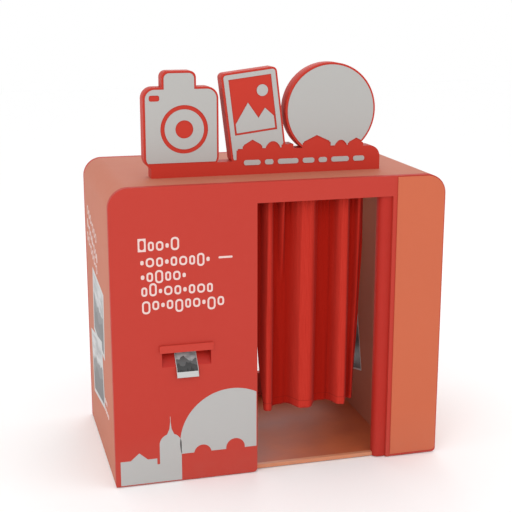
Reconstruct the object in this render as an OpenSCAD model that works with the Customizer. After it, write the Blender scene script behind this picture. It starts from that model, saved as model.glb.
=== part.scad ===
// Walk-in photo booth: a rounded timber box with a machine cabinet on the left, a curtained
// cabin on the right and a cut-out sign on the roof.
// Drawn from the box's front left bottom corner, then moved so that the origin is at the
// middle of its footprint, on the ground. Front is -Y, up is +Z. Millimetres.

/* [Body] */
// Width of the box
body_w = 2380; // [2200:10:2900]
// Depth of the box, front face to back face
body_d = 1410; // [1250:10:1800]
// Height of the roof above the ground
body_h = 2100; // [2060:10:2600]
// Radius of the two long top edges
corner_r = 140; // [80:5:200]
// Radius of the bottom corners of the front boards
toe_r = 28; // [5:1:60]
// Thickness of the bent side shells and the roof
shell_t = 18; // [12:1:30]
// Thickness of the front and back walls, board and frame together
wall_t = 50; // [40:1:80]
// Thickness of the flat boards
board_t = 18; // [12:1:24]
// Width of the frame timbers
stud_w = 45; // [40:1:70]
// Thickness of the floor deck
deck_t = 25; // [18:1:40]
// Height of the foot pads under the deck
foot_h = 6; // [4:1:12]
// Diameter of a foot pad
foot_d = 70; // [50:5:90]

/* [Doorway] */
// Left edge of the doorway, from the left face of the box
door_u = 1008; // [950:1:1150]
// Width of the doorway
door_w = 981; // [850:1:1100]
// Height of the doorway above the ground
door_h = 1957; // [1850:1:2000]
// Height of the sill of the rear opening
sill_h = 240; // [150:5:400]
// Width of the rounded jamb on the doorway's right
jamb_w = 91; // [60:1:120]
// Depth of the rounded jamb
jamb_d = 82; // [60:1:110]
// Distance from the front face to the jamb
jamb_set = 18; // [18:1:24]
// Large radius of the jamb
jamb_r = 40; // [20:1:50]
// Clear width between the doorway's right edge and the cabin's right wall
wall_set = 81; // [60:1:110]
// Thickness of the orange cover on the right column
cover_t = 6; // [3:1:12]
// Margin of the cover inside the red board
cover_margin = 8; // [4:1:20]
// Width of the red strip between the doorway and the cover
stile_w = 31; // [20:1:60]

/* [Curtains] */
// Distance of the curtain tracks from the front and back faces
track_set = 135; // [125:1:180]
// Width of the track profile
track_w = 26; // [22:1:34]
// Height of the track profile
track_h = 22; // [18:1:30]
// Wall of the track profile
track_wall = 2.5; // [2:0.5:4]
// Width of the slot under the track
track_slot = 8; // [6:0.5:12]
// Width of the front curtain, drawn across the doorway
curtain_w = 785; // [650:5:850]
// Height of the curtains' hems above the ground
hem_z = 425; // [300:5:700]
// Thickness of the plain curtain solids
cloth_t = 4; // [2:0.5:8]
// Depth of the curtains' folds, to either side of the track
fold_a = 58; // [30:1:70]
// Width of the rear curtain, drawn aside
bunch_w = 290; // [240:5:340]

/* [Delivery slot] */
// Left edge of the slot, from the left face of the box
slot_u = 335; // [280:1:400]
// Width of the slot
slot_w = 345; // [250:1:400]
// Height of the slot's lower lip above the ground
slot_z = 850; // [800:1:900]
// Height of the slot
slot_h = 107; // [90:1:130]
// Slope of the delivery ramp, degrees
ramp_a = 52.5; // [45:0.5:60]
// Width of a print
print_w = 152; // [102:1:203]
// Length of a print
print_l = 229; // [203:1:254]
// Length of the print that hangs over the lip
print_out = 78; // [50:1:100]
// Thickness of the plain print solid
print_t = 0.6; // [0.3:0.1:1]
// How far the hood stands out of the front face
hood_t = 14; // [8:1:20]

/* [Machine] */
// Height of the printer shelf's top
shelf_z = 880; // [860:1:885]
// Printer width, depth and height
printer_size = [360, 370, 270];
// Diameter of the paper roll
roll_d = 130; // [100:1:150]
// Diameter of the roll's spindle
spindle_d = 50; // [30:1:60]
// Height of the camera's lens
camera_z = 1520; // [1500:5:1540]
// Diameter of the camera's guide shafts
shaft_d = 16; // [12:1:20]
// Radial gap of a running fit
run_gap = 0.05; // [0.02:0.01:0.1]
// Diameter of the start button
button_d = 52; // [40:1:60]
// Travel of the start button
button_travel = 5; // [3:1:8]

/* [Sign] */
// Left edge of the sign's base, from the left face of the box
sign_u = 346; // [250:1:500]
// Length of the sign's base
sign_l = 1656; // [1600:1:1800]
// Depth of the sign
sign_t = 122; // [80:1:160]
// Distance of the sign from the front face
sign_set = 319; // [150:1:500]
// Height of the sign's base bar
sign_bar = 95; // [60:1:120]
// Red margin around the sign's light faces
sign_margin = 14; // [8:1:20]
// Thickness of the sign's light faces
face_t = 5; // [3:1:8]

/* [Hidden] */
$fn = 64;
eps = 0.01;
seat = 0.3;                       // gap between pieces of different bodies at rest
frame_t = wall_t - board_t;       // depth of the wall timbers
back_v = body_d - wall_t;         // inner face of the back wall
deck_z = foot_h + deck_t;         // top of the floor
door_u1 = door_u + door_w;
part_u = door_u - 5 - board_t;    // machine side of the partition
cabin_u = part_u + board_t;       // cabin side of the partition
wall_u = door_u1 + wall_set;      // cabin side of the inner wall
ceil_t = 12;
ceil_z = door_h + 28;             // underside of the ceiling, above the header's edge
mid_v = body_d / 2;
track_z = ceil_z - track_h;       // underside of the tracks
rear_track_v = body_d - track_set;
slot_top = slot_z + slot_h;
slot_u1 = slot_u + slot_w;
print_u = slot_u + slot_w / 2 - print_w / 2;
cover_u = door_u1 + stile_w;

// service door in the back of the machine cabinet
sdoor_u = 180;
sdoor_w = 680;
sdoor_z = 150;
sdoor_h = 1700;
sdoor_gap = 3;
hinge_r = 6;
hinge_pin_r = 3;
hinge_leaf_t = 2.5;
hinge_v = body_d + hinge_r + 0.5;
hinge_u = sdoor_u + sdoor_gap / 2;
hinge_len = 90;
lock_u = sdoor_u + sdoor_w - 40;
lock_z = 1000;
lock_r = 9.5;

// front gliders at fifths of the drawn curtain, rear gliders at thirds of the bunch
front_n = 5;
rear_n = 3;
curtain_u = cabin_u + 12;
bunch_u1 = door_u1 - 9;
function front_glider_u(k) = curtain_u + (curtain_w - 15) * k / front_n;
function rear_glider_u(k) = bunch_u1 - bunch_w * k / rear_n;
glider_bottom = track_z - 12;
curtain_top = glider_bottom - seat;

// ---------- helpers ----------

// Moves a piece from the front left corner to the row frame.
module booth() translate([-body_w / 2, -body_d / 2, 0]) children();

// A block between two corners.
module block(a, b) translate(a) cube(b - a);

// Stretches a front view (x across, y up) along the depth from v0 to v1.
module along_depth(v0, v1) translate([0, v1, 0]) rotate([90, 0, 0]) linear_extrude(v1 - v0) children();

// A rectangle with one radius on all corners, from its lower left corner.
module rounded_rect(w, h, r) {
  translate([r, 0]) square([w - 2 * r, h]);
  translate([0, r]) square([w, h - 2 * r]);
  for (x = [r, w - r], y = [r, h - r]) translate([x, y]) circle(r);
}

// Front view of the box, shrunk by a margin, with its two rounded top corners.
module box_outline(m = 0) {
  r = corner_r - m;
  translate([m, foot_h]) square([body_w - 2 * m, body_h - foot_h - corner_r]);
  translate([corner_r, foot_h]) square([body_w - 2 * corner_r, body_h - foot_h - m]);
  for (x = [corner_r, body_w - corner_r]) translate([x, body_h - corner_r]) circle(r);
}

// Cuts a small radius off a bottom corner: side is 1 for a right corner, -1 for a left one.
module toe_cut(u, side) {
  translate([u, foot_h]) mirror([side > 0 ? 1 : 0, 0]) difference() {
    translate([-1, -1]) square(toe_r + 1);
    translate([toe_r, toe_r]) circle(toe_r);
  }
}

// ---------- floor and shell ----------

foot_places = [for (u = [140, body_w / 3, 2 * body_w / 3, body_w - 140], v = [120, body_d - 120]) [u, v]];
foot_stem_d = 10;
foot_stem_h = 19;

module floor_deck() color([0.78, 0.42, 0.28]) booth() difference() {
  block([shell_t, wall_t, foot_h], [body_w - shell_t, back_v, deck_z]);
  for (p = foot_places) translate([p[0], p[1], foot_h - 1])
    cylinder(d = foot_stem_d + 2 * run_gap, h = foot_stem_h + 1.5);
}

module levelling_feet() color([0.12, 0.12, 0.12]) booth() for (p = foot_places) translate([p[0], p[1], 0]) {
  cylinder(d = foot_d, h = foot_h);
  cylinder(d = foot_stem_d, h = foot_h + foot_stem_h);
}

// The left wall with its rounded top edge, bent from one board.
module shell_half() {
  translate([0, foot_h]) square([shell_t, body_h - foot_h - corner_r]);
  translate([corner_r, body_h - corner_r]) intersection() {
    difference() {
      circle(corner_r, $fn = 96);
      circle(corner_r - shell_t, $fn = 96);
    }
    translate([-corner_r, 0]) square(corner_r);
  }
}

module left_shell() color([0.8, 0.53, 0.46]) booth() along_depth(wall_t, back_v) shell_half();
module right_shell() color([0.8, 0.53, 0.46]) booth() along_depth(wall_t, back_v)
  translate([body_w, 0]) mirror([1, 0]) shell_half();
module roof_panel() color([0.8, 0.53, 0.46]) booth()
  block([corner_r, wall_t, body_h - shell_t], [body_w - corner_r, back_v, body_h]);

// ---------- front and back boards ----------

module right_view() intersection() {
  box_outline();
  translate([door_u1, 0]) square([body_w, body_h]);
}

// One front board around the doorway, with the delivery slot cut through it.
module front_panel() color([0.78, 0.25, 0.2]) booth() difference() {
  along_depth(0, board_t) difference() {
    box_outline();
    translate([door_u, 0]) square([door_w, door_h]);
    toe_cut(door_u, 1);
    toe_cut(body_w, 1);
  }
  block([slot_u, -1, slot_z], [slot_u1, board_t + 1, slot_top]);
}

// Orange cover over the right column: the column's outline with a red margin left around it.
cover_foot = 18;
module column_cover() color([0.83, 0.44, 0.32]) booth() along_depth(-cover_t, 0) difference() {
  intersection() {
    box_outline(cover_margin);
    translate([cover_u, foot_h + cover_foot]) square([body_w, body_h]);
  }
  translate([body_w - cover_margin, foot_h + cover_foot]) mirror([1, 0]) difference() {
    translate([-1, -1]) square(toe_r + 1);
    translate([toe_r, toe_r]) circle(toe_r);
  }
}

// A quarter ring of timber behind a rounded top corner.
module corner_timber(side) translate([side > 0 ? body_w - corner_r : corner_r, body_h - corner_r])
  mirror([side > 0 ? 0 : 1, 0]) intersection() {
    difference() {
      circle(corner_r, $fn = 96);
      circle(corner_r - stud_w, $fn = 96);
    }
    square(corner_r);
  }

// The outer timbers that both walls share: two studs, two corners and the top rail.
module rim_timbers(v0, v1) {
  stud_top = body_h - corner_r;
  block([0, v0, foot_h], [stud_w, v1, stud_top]);
  block([body_w - stud_w, v0, foot_h], [body_w, v1, stud_top]);
  block([corner_r, v0, body_h - stud_w], [body_w - corner_r, v1, body_h]);
  for (side = [-1, 1]) along_depth(v0, v1) corner_timber(side);
}

// The timbers to either side of the doorway, the header rail and the short rails at the foot.
module doorway_timbers(v0, v1) {
  top = body_h - stud_w;
  block([door_u - stud_w, v0, foot_h], [door_u, v1, top]);
  block([door_u1, v0, foot_h], [wall_u + board_t, v1, top]);
  block([door_u, v0, door_h], [door_u1, v1, door_h + stud_w]);
  block([wall_u + board_t, v0, foot_h], [body_w - stud_w, v1, foot_h + stud_w]);
}

module front_frame() color([0.7, 0.22, 0.18]) booth() {
  rim_timbers(board_t, wall_t);
  doorway_timbers(board_t, wall_t);
  for (z = [foot_h, slot_z - 20 - stud_w, slot_top + 63])
    block([stud_w, board_t, z], [door_u - stud_w, wall_t, z + stud_w]);
}

sdoor_stop = 12;                  // how far the studs stand into the service opening
module back_frame() color([0.7, 0.22, 0.18]) booth() {
  rim_timbers(back_v, body_d - board_t);
  doorway_timbers(back_v, body_d - board_t);
  v1 = body_d - board_t;
  rail_z = [foot_h, sdoor_z - stud_w, sdoor_z + sdoor_h];
  stud_l = sdoor_u - stud_w;
  stud_r = sdoor_u + sdoor_w - sdoor_stop;
  for (z = [rail_z[1], rail_z[2]]) block([sdoor_u + sdoor_stop, back_v, z], [stud_r, v1, z + stud_w]);
  block([stud_w, back_v, foot_h], [door_u - stud_w, v1, foot_h + stud_w]);
  block([stud_l, back_v, foot_h + stud_w], [sdoor_u + sdoor_stop, v1, body_h - stud_w]);
  block([stud_r, back_v, foot_h + stud_w], [stud_r + stud_w + sdoor_stop, v1, body_h - stud_w]);
  block([door_u, back_v, foot_h], [door_u1, v1, foot_h + stud_w]);
  block([door_u, back_v, sill_h - stud_w], [door_u1, v1, sill_h]);
}

inlet_u = 90;
inlet_z = 110;
inlet_size = [48, 28];
module back_panel_left() color([0.78, 0.25, 0.2]) booth() difference() {
  along_depth(body_d - board_t, body_d) intersection() {
    box_outline();
    square([door_u, body_h]);
  }
  block([sdoor_u, body_d - board_t - 1, sdoor_z], [sdoor_u + sdoor_w, body_d + 1, sdoor_z + sdoor_h]);
  block([inlet_u - inlet_size[0] / 2, body_d - board_t - 1, inlet_z - inlet_size[1] / 2],
        [inlet_u + inlet_size[0] / 2, body_d + 1, inlet_z + inlet_size[1] / 2]);
}

// The right board of the back, with the open window above its sill.
module back_panel_right() color([0.78, 0.25, 0.2]) booth() {
  along_depth(body_d - board_t, body_d) right_view();
  block([door_u, body_d - board_t, door_h], [door_u1, body_d, body_h]);
  block([door_u, body_d - board_t, foot_h], [door_u1, body_d, sill_h]);
}

// ---------- inner walls, ceiling and roof timbers ----------

joist_z = ceil_z + ceil_t;
module roof_joists() color([0.72, 0.58, 0.4]) booth()
  for (u = [part_u / 2, part_u, (cabin_u + wall_u) / 2 - stud_w / 2 - 330,
            (cabin_u + wall_u) / 2 - stud_w / 2 + 330, wall_u + board_t - stud_w])
    block([u, wall_t, joist_z], [u + stud_w, back_v, body_h - shell_t]);

// The partition's openings, as [depth from, height from, depth to, height to].
screen_h = 290;
screen_w = 530;
screen_z = 930;
window_z = 1298;
window_h = 452;
window_w = 180;
flash_w = 150;
flash_z = 960;
flash_h = 800;
flash_v = [mid_v - 455, mid_v + 305];
coin_v = mid_v + 245;
coin_z = 560;
coin_size = [110, 240];
button_z = 800;
module partition() color([0.62, 0.38, 0.3]) booth() difference() {
  block([part_u, wall_t, deck_z], [cabin_u, back_v, ceil_z]);
  block([part_u - 1, mid_v - screen_w / 2, screen_z], [cabin_u + 1, mid_v + screen_w / 2, screen_z + screen_h]);
  block([part_u - 1, mid_v - window_w / 2, window_z], [cabin_u + 1, mid_v + window_w / 2, window_z + window_h]);
  for (v = flash_v) block([part_u - 1, v + 15, flash_z + 15], [cabin_u + 1, v + flash_w - 15, flash_z + flash_h - 15]);
  block([part_u - 1, coin_v + 10, coin_z + 10], [cabin_u + 1, coin_v + coin_size[0] - 10, coin_z + coin_size[1] - 10]);
  translate([part_u - 1, mid_v, button_z]) rotate([0, 90, 0]) cylinder(r = button_d / 2 + 6, h = board_t + 2);
}

module inner_wall() color([0.62, 0.38, 0.3]) booth()
  block([wall_u, wall_t, deck_z], [wall_u + board_t, back_v, ceil_z]);

light_size = [600, 200];
light_a = [(cabin_u + wall_u) / 2 - light_size[0] / 2, mid_v - light_size[1] / 2];
light_b = light_a + light_size;
module ceiling_panel() color([0.75, 0.5, 0.43]) booth() difference() {
  block([cabin_u, wall_t, ceil_z], [wall_u, back_v, joist_z]);
  block([light_a[0], light_a[1], ceil_z - 1], [light_b[0], light_b[1], joist_z + 1]);
}

// Light tray: a flange under the ceiling, the diffuser in the opening and the housing above.
module ceiling_light() color([0.92, 0.9, 0.84]) booth() {
  block([light_a[0] - 15, light_a[1] - 15, ceil_z - 4], [light_b[0] + 15, light_b[1] + 15, ceil_z]);
  block([light_a[0] + 1, light_a[1] + 1, ceil_z], [light_b[0] - 1, light_b[1] - 1, joist_z + 36]);
}

// ---------- doorway ----------

module jamb_view() {
  u0 = door_u1 - jamb_w;
  v1 = jamb_set + jamb_d;
  back_r = jamb_r / 2;
  translate([u0 + jamb_r, jamb_set]) square([jamb_w - jamb_r, jamb_d]);
  translate([u0, jamb_set + jamb_r]) square([jamb_w, jamb_d - jamb_r - back_r]);
  translate([u0 + back_r, jamb_set + jamb_r]) square([jamb_w - back_r, jamb_d - jamb_r]);
  translate([u0 + jamb_r, jamb_set + jamb_r]) circle(jamb_r);
  translate([u0 + back_r, v1 - back_r]) circle(back_r);
}

// The rounded jamb stands on the deck, reaches the ceiling behind the header, and has a
// front part that runs from the ground line up to the header's edge.
module door_jamb() color([0.75, 0.2, 0.16]) booth() {
  translate([0, 0, foot_h]) linear_extrude(door_h - foot_h) intersection() {
    jamb_view();
    square([body_w, wall_t]);
  }
  translate([0, 0, deck_z]) linear_extrude(door_h - deck_z) difference() {
    jamb_view();
    translate([0, -1]) square([body_w, wall_t + 1 - eps]);
  }
  translate([0, 0, door_h - 1]) linear_extrude(ceil_z - door_h + 1) difference() {
    jamb_view();
    translate([0, -1]) square([body_w, wall_t + 1]);
  }
}

nosing_t = 2.5;
module threshold_strip() color([0.85, 0.55, 0.36]) booth() {
  u0 = door_u;
  u1 = door_u1 - jamb_w;
  block([u0, wall_t - nosing_t, foot_h], [u1, wall_t, deck_z + nosing_t]);
  block([u0, wall_t - eps, deck_z], [u1, wall_t + 30, deck_z + nosing_t]);
}

// ---------- curtain tracks, gliders and curtains ----------

module track(v) difference() {
  block([cabin_u, v - track_w / 2, track_z], [wall_u, v + track_w / 2, ceil_z]);
  block([cabin_u - 1, v - track_w / 2 + track_wall, track_z + track_wall],
        [wall_u + 1, v + track_w / 2 - track_wall, ceil_z - track_wall]);
  block([cabin_u - 1, v - track_slot / 2, track_z - 1], [wall_u + 1, v + track_slot / 2, track_z + track_wall + 1]);
}
module front_track() color([0.85, 0.45, 0.35]) booth() track(track_set);
module rear_track() color([0.85, 0.45, 0.35]) booth() track(rear_track_v);

// A glider: its head runs on the track's lips, its neck passes the slot and ends in a hook plate.
glider_l = 16;
module glider(u, v) color([0.92, 0.9, 0.88]) booth() {
  head_z = track_z + track_wall + seat;
  head_w = track_w - 2 * track_wall - 3;
  block([u - glider_l / 2, v - head_w / 2, head_z], [u + glider_l / 2, v + head_w / 2, head_z + 8]);
  block([u - glider_l / 4, v - track_slot / 2 + 1.5, glider_bottom], [u + glider_l / 4, v + track_slot / 2 - 1.5, head_z + 1]);
  block([u - glider_l / 2, v - track_slot / 2 + 1.5, glider_bottom], [u + glider_l / 2, v + track_slot / 2 - 1.5, glider_bottom + 9]);
}

// A plain folded sheet: a sine wave with its own thickness, hung from the gliders.
module folded_sheet(u0, w, v, folds, depth) {
  steps = folds * 10;
  function wave(i) = [u0 + w * i / steps, v + depth * sin(360 * folds * i / steps)];
  side = [for (i = [0:steps]) wave(i)];
  back = [for (i = [steps:-1:0]) wave(i) + [0, cloth_t]];
  translate([0, 0, hem_z]) linear_extrude(curtain_top - hem_z) polygon(concat(side, back));
}
module front_curtain() color([0.75, 0.16, 0.12]) booth()
  folded_sheet(curtain_u, curtain_w, track_set - cloth_t / 2, 6, fold_a);
module rear_curtain() color([0.75, 0.16, 0.12]) booth()
  folded_sheet(bunch_u1 - bunch_w, bunch_w, rear_track_v - cloth_t / 2, 5, fold_a);

// ---------- delivery slot ----------

hood_over = 15;
module slot_hood() color([0.8, 0.28, 0.23]) booth()
  along_depth(-hood_t, 0) translate([slot_u - hood_over, slot_top - 2]) rounded_rect(slot_w + 2 * hood_over, 53, 6);

// Side view of the chute's ramp: x runs along the depth and y up.
sheet_t = 2;
chute_d = 100;                    // from the front face to the back end of the ramp
chute_top = slot_top + 45;
function ramp_z(v) = slot_z + v * tan(ramp_a);

module chute_cheek_view() polygon([[0, slot_z], [0, slot_top], [board_t, slot_top], [board_t, chute_top],
  [chute_d, chute_top], [chute_d, ramp_z(chute_d)]]);

// Stretches a side view (x along the depth, y up) across the width.
module across(u0, u1) translate([u0, 0, 0]) rotate([90, 0, 90]) linear_extrude(u1 - u0) children();

module delivery_chute() color([0.6, 0.12, 0.08]) booth() {
  across(slot_u + eps, slot_u + sheet_t) chute_cheek_view();
  across(slot_u1 - sheet_t, slot_u1 - eps) chute_cheek_view();
  across(slot_u + eps, slot_u1 - eps) polygon([[0, slot_z], [0, slot_z + 1], [chute_d, ramp_z(chute_d) + 1],
    [chute_d, ramp_z(chute_d) - sheet_t], [sheet_t, slot_z]]);
  block([slot_u + eps, board_t + 0.2, chute_top - sheet_t], [slot_u1 - eps, chute_d, chute_top]);
  block([slot_u + eps, board_t, slot_top + 4], [slot_u1 - eps, board_t + sheet_t, chute_top]);
}

// A print that lies on the ramp and bends down over the lip.
bend_a = 72;
module photo_print() color([0.75, 0.75, 0.74]) booth() {
  n = [-sin(ramp_a), cos(ramp_a)];
  lie = (1 + seat) * 1.0;
  base = [0, slot_z] + [0, lie / cos(ramp_a)];
  along = [cos(ramp_a), sin(ramp_a)];
  down = [-cos(bend_a), -sin(bend_a)];
  on_ramp = print_l - print_out;
  start = base + along * -6;
  up_end = base + along * on_ramp;
  low_end = start + down * print_out;
  nd = [-sin(bend_a), cos(bend_a)];
  across(print_u, print_u + print_w) polygon([start, up_end, up_end + n * print_t, start + n * print_t,
    low_end + nd * print_t, low_end]);
}

// ---------- printer ----------

printer_u = slot_u + slot_w / 2 - printer_size[0] / 2;
printer_v = 130;
roll_v = printer_v + 265;
roll_z = shelf_z + 150;
roll_w = print_w;
well = [roll_w + 24, roll_d + 30, 0];
lid_t = 16;
well_u = printer_u + printer_size[0] / 2 - well[0] / 2;
module printer_shelf() color([0.72, 0.58, 0.4]) booth() {
  block([shell_t, 115, shelf_z - board_t], [part_u, 715, shelf_z]);
  for (u = [shell_t, part_u - 25]) block([u, 115, shelf_z - board_t - 30], [u + 25, 715, shelf_z - board_t]);
}
module printer_body() color([0.16, 0.16, 0.17]) booth() difference() {
  union() {
    difference() {
      block([printer_u, printer_v, shelf_z], [printer_u + printer_size[0], printer_v + printer_size[1], shelf_z + printer_size[2]]);
      block([well_u, roll_v - well[1] / 2, roll_z - roll_d / 2 - 15],
            [well_u + well[0], roll_v + well[1] / 2, shelf_z + printer_size[2] + 1]);
    }
    translate([well_u - 1, roll_v, roll_z]) rotate([0, 90, 0]) cylinder(d = spindle_d, h = well[0] + 2);
    for (u = [lid_u - lug_w - 0.5, lid_u + lid_w + 0.5]) {
      block([u, lid_axis[0] - lid_t / 2, shelf_z + printer_size[2] - 1], [u + lug_w, lid_axis[0] + lid_t / 2, lid_axis[1]]);
      translate([u, lid_axis[0], lid_axis[1]]) rotate([0, 90, 0]) cylinder(d = lid_t, h = lug_w);
    }
    translate([lid_u - lug_w, lid_axis[0], lid_axis[1]]) rotate([0, 90, 0]) cylinder(r = lid_pin_r, h = lid_w + 2 * lug_w);
  }
  block([printer_u + 80, printer_v - 1, shelf_z + 112], [printer_u + printer_size[0] - 80, printer_v + 60, shelf_z + 124]);
}
lid_v0 = roll_v - well[1] / 2 - 20;
lid_v1 = printer_v + printer_size[1];
lid_u = well_u - 15;
lid_w = well[0] + 30;
lug_w = 10;
lid_pin_r = 4;
lid_axis = [lid_v1 - lid_t / 2, shelf_z + printer_size[2] + seat + lid_t / 2];
module printer_lid() color([0.22, 0.22, 0.23]) booth() difference() {
  union() {
    block([lid_u, lid_v0, lid_axis[1] - lid_t / 2], [lid_u + lid_w, lid_axis[0], lid_axis[1] + lid_t / 2]);
    translate([lid_u, lid_axis[0], lid_axis[1]]) rotate([0, 90, 0]) cylinder(d = lid_t, h = lid_w);
  }
  translate([lid_u - 1, lid_axis[0], lid_axis[1]]) rotate([0, 90, 0]) cylinder(r = lid_pin_r + run_gap, h = lid_w + 2);
}
module paper_roll() color([0.93, 0.93, 0.9]) booth()
  translate([well_u + 12, roll_v, roll_z]) rotate([0, 90, 0]) difference() {
    cylinder(d = roll_d, h = roll_w);
    translate([0, 0, -1]) cylinder(r = spindle_d / 2 + run_gap + 0.03, h = roll_w + 2);
  }

// ---------- camera ----------

shaft_u = part_u - 125;
shaft_dv = 110;
rail_block_h = 25;
rail_bottom = window_z - 43;
rail_top = window_z + window_h + 30;
module camera_rails() color([0.75, 0.76, 0.78]) booth() {
  for (z = [rail_bottom, rail_top])
    block([shaft_u - 25, mid_v - shaft_dv - 25, z], [part_u, mid_v + shaft_dv + 25, z + rail_block_h]);
  for (s = [-1, 1]) translate([shaft_u, mid_v + s * shaft_dv, rail_bottom + rail_block_h])
    cylinder(d = shaft_d, h = rail_top - rail_bottom - rail_block_h);
}
carriage_h = 100;
cam_axis_u = shaft_u + 30;
cam_pin_r = 6;
cam_w = 130;
cam_gap = 3;
module camera_carriage() color([0.3, 0.31, 0.33]) booth() {
  z0 = camera_z - carriage_h / 2;
  inner = cam_w / 2 + cam_gap;
  outer = shaft_dv + 20;
  difference() {
    union() {
      for (s = [0, 1]) translate([0, mid_v, 0]) mirror([0, s, 0])
        block([shaft_u - 20, inner, z0], [shaft_u + 45, outer, z0 + carriage_h]);
      block([shaft_u - 62, mid_v - outer, z0 + 10], [shaft_u - 52, mid_v + outer, z0 + carriage_h - 10]);
      for (s = [0, 1]) translate([0, mid_v, 0]) mirror([0, s, 0])
        block([shaft_u - 53, outer - 12, z0 + 10], [shaft_u - 19, outer, z0 + carriage_h - 10]);
    }
    for (s = [-1, 1]) translate([shaft_u, mid_v + s * shaft_dv, z0 - 1])
      cylinder(r = shaft_d / 2 + run_gap, h = carriage_h + 2);
    translate([cam_axis_u, mid_v - inner - 20, camera_z]) rotate([-90, 0, 0])
      cylinder(r = cam_pin_r + run_gap, h = 2 * inner + 40);
  }
}
lens_r = 38;
module camera_body() color([0.1, 0.1, 0.11]) booth() {
  block([cam_axis_u - 60, mid_v - cam_w / 2, camera_z - 50], [cam_axis_u + 15, mid_v + cam_w / 2, camera_z + 50]);
  translate([cam_axis_u + 14, mid_v, camera_z]) rotate([0, 90, 0]) cylinder(r = lens_r, h = 66);
  translate([cam_axis_u - 35, mid_v - 30, camera_z + 49]) cube([45, 60, 22]);
  translate([cam_axis_u, mid_v - cam_w / 2 - cam_gap - 18, camera_z]) rotate([-90, 0, 0])
    cylinder(r = cam_pin_r, h = cam_w + 2 * cam_gap + 36);
}
module camera_window() color([0.1, 0.1, 0.12, 0.6]) booth()
  block([part_u - 5, mid_v - window_w / 2 - 15, window_z - 15], [part_u, mid_v + window_w / 2 + 15, window_z + window_h + 15]);

// ---------- things on the partition ----------

module touch_screen() color([0.05, 0.05, 0.06]) booth()
  block([part_u - 30, mid_v - screen_w / 2 - 25, screen_z - 25], [part_u, mid_v + screen_w / 2 + 25, screen_z + screen_h + 25]);
bezel_t = 7;
bezel_m = 22;
module screen_bezel() color([0.15, 0.15, 0.16]) booth() difference() {
  block([cabin_u, mid_v - screen_w / 2 - bezel_m, screen_z - bezel_m],
        [cabin_u + bezel_t, mid_v + screen_w / 2 + bezel_m, screen_z + screen_h + bezel_m]);
  block([cabin_u - 1, mid_v - screen_w / 2 + 5, screen_z + 5],
        [cabin_u + bezel_t + 1, mid_v + screen_w / 2 - 5, screen_z + screen_h - 5]);
}
module flash_diffusers() color([0.95, 0.94, 0.9]) booth()
  for (v = flash_v) block([cabin_u, v, flash_z], [cabin_u + 8, v + flash_w, flash_z + flash_h]);

button_wall = 5;
button_collar = 2.5;
button_lip = 8;
module button_housing() color([0.2, 0.2, 0.21]) booth() translate([cabin_u, mid_v, button_z]) rotate([0, 90, 0]) difference() {
  union() {
    cylinder(r = button_d / 2 + 16, h = 6);
    translate([0, 0, -45]) cylinder(r = button_d / 2 + button_wall, h = 46);
  }
  translate([0, 0, -button_lip - 1]) cylinder(r = button_d / 2 + run_gap, h = 20);
  translate([0, 0, -40]) cylinder(r = button_d / 2 + button_collar + seat, h = 40 - button_lip);
}
module start_button() color([0.85, 0.12, 0.1]) booth() translate([cabin_u, mid_v, button_z]) rotate([0, 90, 0]) {
  translate([0, 0, -30]) cylinder(d = button_d, h = 48);
  translate([0, 0, -30]) cylinder(r = button_d / 2 + button_collar, h = 30 - button_lip - seat);
}

// Coin unit: a face plate with a coin slot and a cup, and the mechanism behind it.
cup_z = coin_z + 25;
cup_h = 70;
cup_wall = 22;
flap_t = 3;
flap_pin_r = 2.5;
flap_axis = [cabin_u - 2, cup_z + cup_h - 6];
module coin_unit() color([0.7, 0.71, 0.73]) booth() difference() {
  union() {
    block([cabin_u, coin_v, coin_z], [cabin_u + 5, coin_v + coin_size[0], coin_z + coin_size[1]]);
    block([part_u - 60, coin_v + 12, coin_z + 12], [cabin_u + 1, coin_v + coin_size[0] - 12, coin_z + coin_size[1] - 12]);
  }
  block([part_u - 40, coin_v + cup_wall, cup_z], [cabin_u + 6, coin_v + coin_size[0] - cup_wall, cup_z + cup_h]);
  block([part_u, coin_v + coin_size[0] / 2 - 2, coin_z + 160], [cabin_u + 6, coin_v + coin_size[0] / 2 + 2, coin_z + 195]);
  translate([flap_axis[0], coin_v + cup_wall - 6, flap_axis[1]]) rotate([-90, 0, 0])
    cylinder(r = flap_pin_r + run_gap, h = coin_size[0] - 2 * cup_wall + 12);
}
module coin_flap() color([0.55, 0.56, 0.58]) booth() {
  v0 = coin_v + cup_wall + 0.5;
  v1 = coin_v + coin_size[0] - cup_wall - 0.5;
  block([flap_axis[0] - flap_t / 2, v0, cup_z + 2], [flap_axis[0] + flap_t / 2, v1, flap_axis[1]]);
  translate([flap_axis[0], v0 - 5, flap_axis[1]]) rotate([-90, 0, 0]) cylinder(r = flap_pin_r, h = v1 - v0 + 10);
}

module control_computer() color([0.24, 0.25, 0.27]) booth() {
  block([shell_t + 160, 640, deck_z], [shell_t + 360, 1000, deck_z + 380]);
  block([shell_t + 400, 700, deck_z], [shell_t + 600, 960, deck_z + 120]);
}

module mains_inlet() color([0.08, 0.08, 0.08]) booth() difference() {
  union() {
    along_depth(body_d, body_d + 3) translate([inlet_u - 34, inlet_z - 22]) rounded_rect(68, 44, 6);
    along_depth(body_d - 45, body_d + 1) translate([inlet_u - inlet_size[0] / 2 + 0.5, inlet_z - inlet_size[1] / 2 + 0.5])
      square([inlet_size[0] - 1, inlet_size[1] - 1]);
  }
  block([inlet_u - 13, body_d - 20, inlet_z - 8], [inlet_u + 13, body_d + 4, inlet_z + 8]);
}

// ---------- service door ----------

module vent_slots(z0, n) for (i = [0:n - 1])
  block([sdoor_u + 160, body_d - board_t - 2, z0 + 26 * i], [sdoor_u + sdoor_w - 160, body_d + 2, z0 + 26 * i + 10]);

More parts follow.
